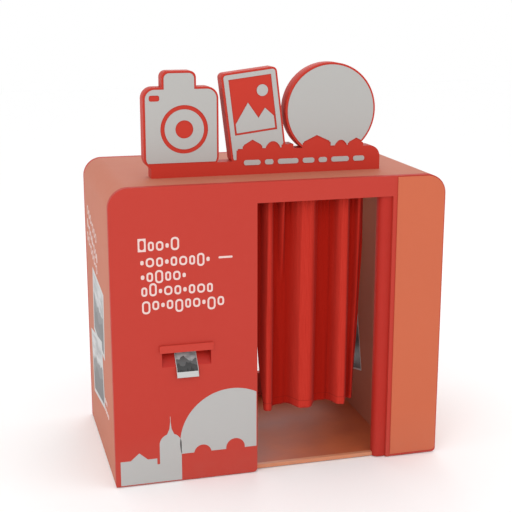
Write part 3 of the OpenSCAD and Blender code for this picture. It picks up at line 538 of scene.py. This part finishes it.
# Curtains: heavy red cloth with a gathered heading tape at the top and a doubled hem at the foot,
# hooked to gliders in the track. Each is built as it hangs, one fold at a time, and then settled
# under its own weight for a moment with its heading held.
def weave():
    m, shader, tree = start_material("curtain_cloth")
    where = node(tree, "TexCoord").outputs["UV"]
    warp, weft = (node(tree, "TexWave", Vector=where, Scale=scale) for scale in (150, 190))
    warp.bands_direction, weft.bands_direction = "X", "Y"
    stretch = node(tree, "Mapping", Vector=where, Scale=(60, 2.2, 1))
    slub = node(tree, "TexNoise", Vector=stretch.outputs[0], Scale=3, Detail=6)
    dyed = ramp(tree, slub.outputs["Fac"], (rgb(180, 44, 33), rgb(191, 53, 41)), (0.3, 0.7))
    # Painted shade: the attribute that hang_curtain sets darkens the dye to a deep red in the fold valleys
    # and on the folds' right-hand sides, where shade falls.
    deep = node(tree, "Attribute")
    deep.attribute_name = "kept_colour"
    dye_with_painted_fold_shade = mixed(tree, deep.outputs["Fac"], dyed, rgb(150, 16, 3))
    seam = sums(tree, "COMPARE", node(tree, "SeparateXYZ", Vector=where).outputs["Y"], 0.036, 0.0012)
    stitched = mixed(tree, sums(tree, "MULTIPLY", seam, 0.55), dye_with_painted_fold_shade, rgb(96, 14, 10))
    fill(shader, Base_Color=stitched, Roughness=0.86, Specular_IOR_Level=0.06, Sheen_Weight=0.03,
         Sheen_Roughness=0.5)
    bumped(shader, sums(tree, "MULTIPLY", warp.outputs["Fac"], weft.outputs["Fac"]), 0.0006, 0.35)
    return m


curtain_cloth = weave()


def fold_depth(x, t, folds):
    """How far the cloth stands forward at x, t of the way down; each fold gives its middle, half
    width and rise at the heading and at the hem, where it dies out, and how broad its crest is."""
    total = 0.0
    for mid0, mid1, half0, half1, rise0, rise1, end, broad in folds:
        mix = t ** 0.8
        mid, half = mid0 + (mid1 - mid0) * mix, half0 + (half1 - half0) * mix
        rise = rise0 + (rise1 - rise0) * mix
        if end < 1:
            rise *= max(0.0, 1 - t / end) ** 0.7
        reach = abs(x - mid) / half
        if reach < 1:
            fall = max(0.0, (reach - broad) / (1 - broad))
            total += (rise * 0.5 * (1 + math.cos(math.pi * fall))) ** 2.6
    return total ** (1 / 2.6)


def hang_curtain(name, sides, top, hem, track, back, folds, columns, rows, tape):
    """sides gives the two edges' x at the heading and at the hem; all in metres from the frame.
    Points are spaced by arc length along each row, and flat_width is the mean of the rows' arcs."""
    clear_choice()
    bpy.ops.mesh.primitive_grid_add(x_subdivisions=columns, y_subdivisions=rows, size=1, calc_uvs=True)
    cloth = bpy.context.object
    cloth.name = name
    # Each point carries a painted-shade value for the cloth's colour, set below.
    kept_colour = cloth.data.attributes.new("kept_colour", "FLOAT", "POINT")
    samples, tape_reach, tape_pitch, beside = 720, 0.16, 0.030, 0.008
    lines = {}
    for v in cloth.data.vertices:
        key = round((0.5 - v.co.y) * rows)
        t = key / rows
        if key not in lines:
            drift = 0.35 * t + 0.65 * t * t
            left = sides[0][0] + (sides[0][1] - sides[0][0]) * drift
            right = sides[1][0] + (sides[1][1] - sides[1][0]) * drift
            line, run = [], 0.0
            for k in range(samples + 1):
                x = left + (right - left) * k / samples
                y = track + back * (0.6 + 0.4 * t) - fold_depth(x, t, folds)
                gather = tape * max(0.0, 1 - t / tape_reach) ** 1.5
                y += gather * math.sin(2 * math.pi * (x - left) / tape_pitch)
                y += 0.0045 * t * math.sin(41 * x + 3.1 * t) + 0.0025 * math.sin(
                    97 * x - 5 * t + 1.2 * math.sin(6 * t))
                if line:
                    run += math.hypot(x - line[-1][0], y - line[-1][1])
                line.append((x, y, run))
            lines[key] = line
        line = lines[key]
        want = (v.co.x + 0.5) * line[-1][2]
        low, high = 0, samples
        while high - low > 1:
            middle = (low + high) // 2
            if line[middle][2] < want:
                low = middle
            else:
                high = middle
        a, b = line[low], line[high]
        f = (want - a[2]) / max(1e-9, b[2] - a[2])
        sag = 0.006 * math.sin(23 * a[0]) * t
        v.co = (a[0] + (b[0] - a[0]) * f, a[1] + (b[1] - a[1]) * f, top + (hem - top) * t + sag)
        # Painted shade for the cloth's colour: near 1 deep in a fold's valley and where the cloth turns to
        # the right, away from the light, and 0 on the crests.
        turned = (fold_depth(a[0] - beside, t, folds) - fold_depth(a[0] + beside, t, folds)) / (2 * beside)
        recess = 1 - min(1.0, fold_depth(a[0], t, folds) / (0.060 + 0.034 * t))
        shade = 0.9 * recess + 0.35 * min(1.0, max(0.0, turned / 1.2))
        kept_colour.data[v.index].value = min(1.0, shade)
    cloth["flat_width"] = sum(line[-1][2] for line in lines.values()) / len(lines)
    return cloth


def settle(cloth, frames, held, limit=0.008):
    """Lets the cloth hang under its own weight for a few frames, its heading held; no point moves
    further than limit."""
    pins = cloth.vertex_groups.new(name="heading")
    rest = [v.co.copy() for v in cloth.data.vertices]
    pins.add([k for k, p in enumerate(rest) if p.z > held], 1.0, "REPLACE")
    hang = cloth.modifiers.new("hang", "CLOTH")
    hang.settings.quality, hang.settings.mass = 6, 0.4
    hang.settings.tension_stiffness = hang.settings.compression_stiffness = 25
    hang.settings.bending_stiffness = 0.6
    hang.settings.vertex_group_mass = "heading"
    hang.settings.air_damping = 3.0
    hang.collision_settings.use_collision = False
    scene = bpy.context.scene
    hang.point_cache.frame_start, hang.point_cache.frame_end = 1, frames
    for k in range(1, frames + 1):
        scene.frame_set(k)
    bpy.context.view_layer.objects.active = cloth
    cloth.select_set(True)
    bpy.ops.object.modifier_apply(modifier="hang")
    scene.frame_set(1)
    for v, p in zip(cloth.data.vertices, rest):
        step = v.co - p
        if step.length > limit:
            v.co = p + step * (limit / step.length)


def finish_cloth(cloth, hem_top, tape_low):
    """Gives the sheet its thickness, doubled at the hem and the heading tape."""
    thick = cloth.vertex_groups.new(name="doubled")
    thick.add([v.index for v in cloth.data.vertices], 0.4, "REPLACE")
    thick.add([v.index for v in cloth.data.vertices if v.co.z < hem_top or v.co.z > tape_low], 1.0, "REPLACE")
    body = cloth.modifiers.new("body", "SOLIDIFY")
    body.thickness, body.offset = 0.0032, 0
    body.vertex_group, body.thickness_vertex_group = "doubled", 0.3
    clear_choice()
    cloth.select_set(True)
    bpy.context.view_layer.objects.active = cloth
    bpy.ops.object.modifier_apply(modifier="body")
    bpy.ops.object.shade_smooth()
    cloth.data.materials.append(curtain_cloth)


curtain_low, curtain_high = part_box("front_curtain")
track_low, track_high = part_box("front_track")
front_track_y = (track_low[1] + track_high[1]) / 2
front_folds = tuple((left_edge + at_heading, left_edge + at_hem, *shape) for at_heading, at_hem, *shape in (
    (1.124, 1.110, 0.052, 0.064, 0.064, 0.104, 1, 0.15),
    (1.226, 1.222, 0.028, 0.034, 0.058, 0.030, 0.40, 0.0),
    (1.394, 1.380, 0.110, 0.116, 0.064, 0.106, 1, 0.28),
    (1.668, 1.654, 0.070, 0.078, 0.066, 0.108, 1, 0.2),
    (1.792, 1.752, 0.030, 0.026, 0.040, 0.030, 1, 0.0)))
front_sides = ((left_edge + 1.034, left_edge + 1.084), (left_edge + 1.826, left_edge + 1.768))
front_cloth = hang_curtain("front_curtain_cloth", front_sides, curtain_high[2], curtain_low[2] + 0.006,
                           front_track_y, 0.050, front_folds, 220, 110, 0.006)
settle(front_cloth, 18, curtain_high[2] - 0.03)
finish_cloth(front_cloth, curtain_low[2] + 0.055, curtain_high[2] - 0.035)
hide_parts("front_curtain")
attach(front_cloth, "cabinet")
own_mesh(front_cloth)

# The rear curtain is drawn aside to the right, so its folds stand close together. It hangs from the
# track behind the cabin.
rear_low, rear_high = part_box("rear_curtain")
rear_track_y = (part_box("rear_track")[0][1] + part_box("rear_track")[1][1]) / 2
random.seed(4)
rear_middles = [rear_low[0] + 0.029 + 0.058 * k for k in range(5)]
rear_folds = tuple((middle, middle + random.uniform(-0.006, 0.006), 0.017, 0.019,
                    0.088 + random.uniform(-0.01, 0.006), 0.106 + random.uniform(-0.012, 0.004), 1, 0.2)
                   for middle in rear_middles)
rear_sides = ((rear_low[0], rear_low[0] + 0.008), (rear_high[0], rear_high[0] - 0.002))
rear_cloth = hang_curtain("rear_curtain_cloth", rear_sides, rear_high[2], rear_low[2] + 0.006,
                          rear_track_y, 0.052, rear_folds, 150, 90, 0.004)
settle(rear_cloth, 14, rear_high[2] - 0.03)
finish_cloth(rear_cloth, rear_low[2] + 0.055, rear_high[2] - 0.035)
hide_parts("rear_curtain")
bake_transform(rear_cloth)

# Tracks and gliders: powder-coated channels under the ceiling, and nylon gliders in them. The
# curtains hang from the gliders.
dress(rolled_paint("track_coat", rgb(206, 116, 92), dust=0.0, gloss=0.35), "front_track", "rear_track")
nylon = rolled_paint("white_nylon", rgb(228, 224, 218), dust=0.0, gloss=0.4, dimple=0.0001)
dress(nylon, *[f"front_glider_{k}" for k in range(1, 6)], *[f"rear_glider_{k}" for k in range(1, 4)])

# Delivery slot: a folded and painted sheet chute behind the front board, under a moulded lip. Its
# ramp brings a print out to the front.
lip_red = rolled_paint("lip_red", rgb(188, 52, 38), drift=0.05, dust=0.0, gloss=0.45, dimple=0.0001)
chute_red = rolled_paint("chute_red", rgb(178, 30, 17), drift=0.06, dust=0.0, gloss=0.4, dimple=0.0001)
dress(lip_red, "slot_hood")
dress(chute_red, "delivery_chute")
ease_edges(0.003, "slot_hood")

# Print: a glossy sheet that lies on the ramp and curls down over the slot's lip. It has a grey
# landscape on it and a light border, wider at the free end.
print_low, print_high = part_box("photo_print")
print_wide, print_long, print_steps = print_high[0] - print_low[0], 0.232, 60
ramp_slope, lip_slope, curl = math.radians(52.5), math.radians(78), math.radians(8)
clear_choice()
bpy.ops.mesh.primitive_grid_add(x_subdivisions=16, y_subdivisions=print_steps, size=1, calc_uvs=True)
hanging_print = bpy.context.object
hanging_print.name = "hanging_print"
path, step = [], print_long / print_steps
y, z = print_high[1] - 0.0015, print_high[2] - 0.0015
for k in range(print_steps + 1):
    path.append((y, z))
    along = k * step
    turn = min(1.0, max(0.0, (along - 0.150) / 0.030))
    turn = turn * turn * (3 - 2 * turn)
    heading = ramp_slope + (lip_slope - ramp_slope) * turn - curl * max(0.0, (along - 0.195) / 0.037)
    y -= step * math.cos(heading)
    z -= step * math.sin(heading)
middle = (print_low[0] + print_high[0]) / 2
for v in hanging_print.data.vertices:
    k = round((0.5 - v.co.y) * print_steps)
    y, z = path[k]
    bow = 0.0030 * (4 * v.co.x * v.co.x) * math.sin(math.pi * k / print_steps)
    lean = 0.004 * max(0.0, (k - 28) / 32)
    v.co = (middle + v.co.x * print_wide + lean, y - bow * 0.6, z + bow * 0.3)
sheet_body = hanging_print.modifiers.new("sheet_body", "SOLIDIFY")
sheet_body.thickness, sheet_body.offset = 0.0004, 0
bpy.ops.object.modifier_apply(modifier="sheet_body")
bpy.ops.object.shade_smooth()
hanging_print.data.materials.append(
    landscape_print("print_view", 5.3, border=0.025, foot=0.17, dark=0.008, light=0.42))
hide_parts("photo_print")
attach(hanging_print, "print")

# Machine: black moulded printer with a hinged lid, its paper roll, a camera on a sliding bracket,
# and the controls' boxes. All sit behind the partition and are reached by the service door.
moulded_black = rolled_paint("moulded_black", rgb(38, 38, 40), drift=0.03, dust=0.05, gloss=0.5,
                             dimple=0.0004)
moulded_grey = rolled_paint("moulded_grey", rgb(62, 63, 66), drift=0.03, dust=0.05, gloss=0.5, dimple=0.0004)
coated_steel = rolled_paint("coated_steel", rgb(104, 108, 112), drift=0.04, dust=0.05, gloss=0.45,
                            dimple=0.0003)
paper_white = rolled_paint("paper_white", rgb(232, 230, 224), drift=0.02, dust=0.0, gloss=0.6, dimple=0.0001)
dress(moulded_black, "printer_body", "camera_body", "mains_inlet")
dress(moulded_grey, "printer_lid", "screen_bezel", "button_housing")
dress(coated_steel, "control_computer")
dress(paper_white, "paper_roll")


def brushed(name, colour, rough, lengthways=(1, 1, 60)):
    """Bare metal with fine brush lines."""
    m, shader, tree = start_material(name)
    turn = node(tree, "Mapping", Vector=node(tree, "TexCoord").outputs["Object"], Scale=lengthways)
    brush = node(tree, "TexNoise", Vector=turn.outputs[0], Scale=30, Detail=5).outputs["Fac"]
    spread = node(tree, "MapRange", Value=brush, To_Min=rough - 0.08, To_Max=rough + 0.1)
    fill(shader, Base_Color=mixed(tree, brush, colour, tuple(0.82 * c for c in colour[:3]) + (1,)),
         Roughness=spread.outputs[0], Metallic=1.0)
    bumped(shader, brush, 0.0001, 0.4)
    return m


bright_steel = brushed("bright_steel", (0.62, 0.63, 0.65, 1), 0.3)
anodised = brushed("anodised", (0.50, 0.51, 0.53, 1), 0.42, (60, 1, 1))
dark_anodised = brushed("dark_anodised", (0.10, 0.10, 0.11, 1), 0.4, (60, 1, 1))
dress(bright_steel, "camera_rails", "hinge_frame_leaves", "hinge_door_leaves", "coin_flap")
dress(anodised, "coin_unit")
dress(dark_anodised, "camera_carriage")

# Lens: two knurled rings on the barrel and a coated front glass set just inside the rim. Both ride
# with the camera.
def soften(width, steps):
    """Bevels every edge of the active piece."""
    bpy.ops.object.mode_set(mode="EDIT")
    bpy.ops.mesh.select_all(action="SELECT")
    bpy.ops.mesh.bevel(offset=width, segments=steps, affect="EDGES")
    bpy.ops.object.mode_set(mode="OBJECT")


lens_low, lens_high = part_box("camera_body")
lens_x, lens_y, lens_z = lens_high[0], (lens_low[1] + lens_high[1]) / 2, 1.520
knurls = 72
rings = []
for place, wide in ((-0.020, 0.012), (-0.044, 0.016)):
    clear_choice()
    bpy.ops.mesh.primitive_cylinder_add(vertices=knurls, radius=0.0392, depth=wide,
                                        location=(lens_x + place, lens_y, lens_z),
                                        rotation=(0, math.radians(90), 0))
    ring = bpy.context.object
    soften(0.0006, 2)
    bake_place()
    for v in ring.data.vertices:
        turn = math.atan2(v.co.z - lens_z, v.co.y - lens_y)
        grow = 1 + 0.010 * (1 if round(turn / (2 * math.pi) * knurls) % 2 else 0)
        v.co.y, v.co.z = lens_y + (v.co.y - lens_y) * grow, lens_z + (v.co.z - lens_z) * grow
    rings.append(ring)
lens_rings = join_up("lens_rings", rings)
lens_rings.data.materials.append(moulded_grey)
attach(lens_rings, "camera")
clear_choice()
bpy.ops.mesh.primitive_uv_sphere_add(segments=48, ring_count=24, radius=0.060,
                                     location=(lens_x - 0.0588, lens_y, lens_z),
                                     rotation=(0, math.radians(90), 0))
front_glass = bpy.context.object
front_glass.name = "lens_glass"
bake_place()
bpy.ops.object.mode_set(mode="EDIT")
bpy.ops.mesh.select_all(action="SELECT")
bpy.ops.mesh.bisect(plane_co=(lens_x - 0.0095, 0, 0), plane_no=(1, 0, 0), clear_inner=True, use_fill=True)
bpy.ops.object.mode_set(mode="OBJECT")
bpy.ops.object.shade_smooth_by_angle(angle=math.radians(30))
coated, pane, glass_tree = start_material("coated_glass")
# Painted reflection: the glass's colour turns from near black face-on to a purple tint towards its rim,
# standing for the coating's reflection.
rim_weight_for_painted_reflection = node(glass_tree, "LayerWeight").outputs["Facing"]
fill(pane, Base_Color=ramp(glass_tree, rim_weight_for_painted_reflection, ((0.004, 0.004, 0.01, 1), (0.05, 0.03, 0.10, 1))),
     Roughness=0.06, Coat_Weight=1.0)
front_glass.data.materials.append(coated)
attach(front_glass, "camera")


# Computer and power unit: coated steel boxes that stand on the deck. The tall one turns its fan guard,
# connector block and slots to the service door, the low one its switch and outlet. The slots are
# black bars on the face, painted shade for their dark insides.
box_low, box_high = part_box("control_computer")
tall_x, tall_face, tall_z = box_low[0] + 0.100, box_high[1], box_low[2] + 0.290
fan_rings = []
for radius in (0.046, 0.034, 0.022, 0.010):
    clear_choice()
    bpy.ops.mesh.primitive_torus_add(
        location=(tall_x, tall_face + 0.0020, tall_z), rotation=(math.radians(90), 0, 0),
        major_radius=radius, minor_radius=0.0012, major_segments=48, minor_segments=8)
    fan_rings.append(bpy.context.object)
for turn in (45, 135):
    fan_rings.append(film_bar("spoke", (0.100, 0.0018, 0.0030), (tall_x, tall_face + 0.0012, tall_z),
                              (0, math.radians(turn), 0), corner=0.0008))
fan_guard = join_up("fan_guard", fan_rings)
fan_guard.data.materials.append(bright_steel)
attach(fan_guard, "cabinet")
clear_choice()
bpy.ops.mesh.primitive_cylinder_add(vertices=64, radius=0.050, depth=0.0010,
                                    location=(tall_x, tall_face + 0.0003, tall_z),
                                    rotation=(math.radians(90), 0, 0))
fan_dark = bpy.context.object
bake_place()
black_parts_and_slot_shade = [fan_dark]
for k in range(6):
    spot = (tall_x - 0.060 + 0.024 * k, tall_face + 0.0010, tall_z - 0.110)
    black_parts_and_slot_shade.append(film_bar("socket", (0.016, 0.0030, 0.009), spot, corner=0.0015))
# Vent slots: black bars laid on the face, painted shade standing for the dark inside of the slots.
for k in range(5):
    spot = (tall_x, tall_face + 0.0003, tall_z - 0.150 - 0.016 * k)
    black_parts_and_slot_shade.append(film_bar("slot", (0.120, 0.0012, 0.005), spot, corner=0.002))
low_x, low_face = box_high[0] - 0.100, box_low[1] + 0.320
socket_z = box_low[2] + 0.060
black_parts_and_slot_shade.append(film_bar("outlet", (0.048, 0.0030, 0.030), (low_x + 0.030, low_face + 0.0012, socket_z),
                           corner=0.004))
black_parts_and_slot_shade.append(film_bar("rocker", (0.020, 0.0046, 0.028), (low_x - 0.040, low_face + 0.0020, socket_z),
                           corner=0.003))
computer_fittings = join_up("computer_fittings", black_parts_and_slot_shade)
computer_fittings.data.materials.clear()
computer_fittings.data.materials.append(moulded_black)
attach(computer_fittings, "cabinet")

# Camera window: a smoked acrylic sheet on the machine's side of the partition. Wiping has left it a
# little smeared.
def smoked_acrylic():
    m, shader, tree = start_material("smoked_acrylic")
    smear = node(tree, "TexNoise", Vector=node(tree, "TexCoord").outputs["Object"], Scale=6)
    spread = node(tree, "MapRange", Value=smear.outputs["Fac"], To_Min=0.03, To_Max=0.14)
    fill(shader, Base_Color=(0.09, 0.09, 0.10, 1), Transmission_Weight=0.75, IOR=1.49,
         Roughness=spread.outputs[0])
    return m


dress(smoked_acrylic(), "camera_window")


# Opal panels: light diffusers beside the window and the ceiling light, in white acrylic with a
# faint cloud in it. They give a little light when the booth waits.
def opal_panel(name, glow):
    m, shader, tree = start_material(name)
    cloud = node(tree, "TexNoise", Vector=node(tree, "TexCoord").outputs["Object"], Scale=5, Detail=4)
    milk = ramp(tree, cloud.outputs["Fac"], ((0.80, 0.79, 0.76, 1), (0.90, 0.89, 0.86, 1)))
    fill(shader, Base_Color=milk, Emission_Color=milk, Emission_Strength=glow, Roughness=0.35)
    return m


dress(opal_panel("opal_flash", 0.5), "flash_diffusers")
dress(opal_panel("opal_ceiling", 3.2), "ceiling_light")


# Screen: a touch display with a plain waiting picture: a soft gradient, three blank tiles and a
# round start mark. The pattern is laid out on the screen's own height and depth.
def waiting_screen():
    low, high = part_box("touch_screen")
    mid_y, mid_z = (low[1] + high[1]) / 2, (low[2] + high[2]) / 2
    m, shader, tree = start_material("waiting_screen")
    where = node(tree, "TexCoord").outputs["Object"]
    split = node(tree, "SeparateXYZ", Vector=where)
    fade = node(tree, "MapRange", Value=split.outputs["Z"], From_Min=low[2], From_Max=high[2])
    colour = ramp(tree, fade.outputs[0], ((0.02, 0.03, 0.07, 1), (0.10, 0.16, 0.26, 1)))
    for k, tile in enumerate(((0.45, 0.10, 0.08, 1), (0.42, 0.42, 0.40, 1), (0.50, 0.22, 0.12, 1))):
        across = sums(tree, "COMPARE", split.outputs["Y"], mid_y - 0.15 + 0.15 * k, 0.060)
        upward = sums(tree, "COMPARE", split.outputs["Z"], mid_z + 0.035, 0.070)
        colour = mixed(tree, sums(tree, "MULTIPLY", across, upward), colour, tile)
    span = node(tree, "VectorMath")
    span.operation = "DISTANCE"
    tree.links.new(where, span.inputs[0])
    span.inputs[1].default_value = (high[0], mid_y, low[2] + 0.075)
    mark = sums(tree, "LESS_THAN", span.outputs["Value"], 0.026)
    colour = mixed(tree, mark, colour, (0.75, 0.74, 0.70, 1))
    fill(shader, Base_Color=colour, Emission_Color=colour, Emission_Strength=0.6, Roughness=0.12)
    return m


dress(waiting_screen(), "touch_screen")

# Start button: a gloss red button with a raised round cap, in a dark housing. The cap rides with
# the button.
button_gloss = rolled_paint("button_gloss", rgb(206, 30, 24), drift=0.04, dust=0.0, gloss=0.12,
                            dimple=0.00002)
dress(button_gloss, "start_button")
button_low, button_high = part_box("start_button")
clear_choice()
bpy.ops.mesh.primitive_cylinder_add(vertices=64, radius=0.021, depth=0.003, rotation=(0, math.radians(90), 0),
                                    location=(button_high[0] + 0.0010, (button_low[1] + button_high[1]) / 2,
                                              (button_low[2] + button_high[2]) / 2))
button_cap = bpy.context.object
button_cap.name = "button_cap"
soften(0.0013, 4)
bake_place()
bpy.ops.object.shade_smooth_by_angle(angle=math.radians(40))
button_cap.data.materials.append(button_gloss)
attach(button_cap, "button")

# Back screws: zinc countersunk screws that hold the back boards to their timbers. One is modelled
# with its cross recess, and the rest are copies.
back_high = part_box("back_panel_left")[1]
back_y = back_high[1]
clear_choice()
bpy.ops.mesh.primitive_cylinder_add(vertices=24, radius=0.0055, depth=0.003, location=(0, 0, 0),
                                    rotation=(math.radians(-90), 0, 0))
first_screw = bpy.context.object
bake_place()
soften(0.0008, 2)
for turn in (0, math.radians(90)):
    clear_choice()
    bpy.ops.mesh.primitive_cube_add(size=1, location=(0, 0.0012, 0), rotation=(0, turn, 0),
                                    scale=(0.0062, 0.0022, 0.0012))
    combine(first_screw, bpy.context.object, "DIFFERENCE")
side_heights = (0.10, 0.48, 0.86, 1.24, 1.62, 1.90)
screw_places = [(left_edge + x, z) for x in (0.022, 0.985, 2.010, 2.358) for z in side_heights]
screw_places += [(left_edge + x, z) for x in (1.12, 1.38, 1.62, 1.87) for z in (0.028, 0.215, 1.982, 2.075)]
screws = []
for k, (x, z) in enumerate(screw_places):
    copy = first_screw.copy()
    copy.data = first_screw.data.copy()
    bpy.context.scene.collection.objects.link(copy)
    copy.rotation_euler = (0, 0.7 * k, 0)
    copy.location = (x, back_y - 0.0007, z)
    screws.append(copy)
bpy.data.objects.remove(first_screw)
back_screws = join_up("back_screws", screws)
back_screws.data.materials.clear()
back_screws.data.materials.append(bright_steel)
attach(back_screws, "cabinet")

# Mains inlet: three brass blades in the recess of the black moulding. It is at the lower right of
# the back.
inlet_low, inlet_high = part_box("mains_inlet")
inlet_x, inlet_z = (inlet_low[0] + inlet_high[0]) / 2, (inlet_low[2] + inlet_high[2]) / 2
blades = [film_bar("blade", (0.0022, 0.014, 0.0060),
                   (inlet_x + dx, inlet_high[1] - 0.0135, inlet_z + dz), corner=0.0007)
          for dx, dz in ((-0.007, -0.002), (0.0, 0.003), (0.007, -0.002))]
inlet_blades = join_up("inlet_blades", blades)
inlet_blades.data.materials.append(brushed("brass_blades", (0.62, 0.48, 0.22, 1), 0.3))
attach(inlet_blades, "cabinet")
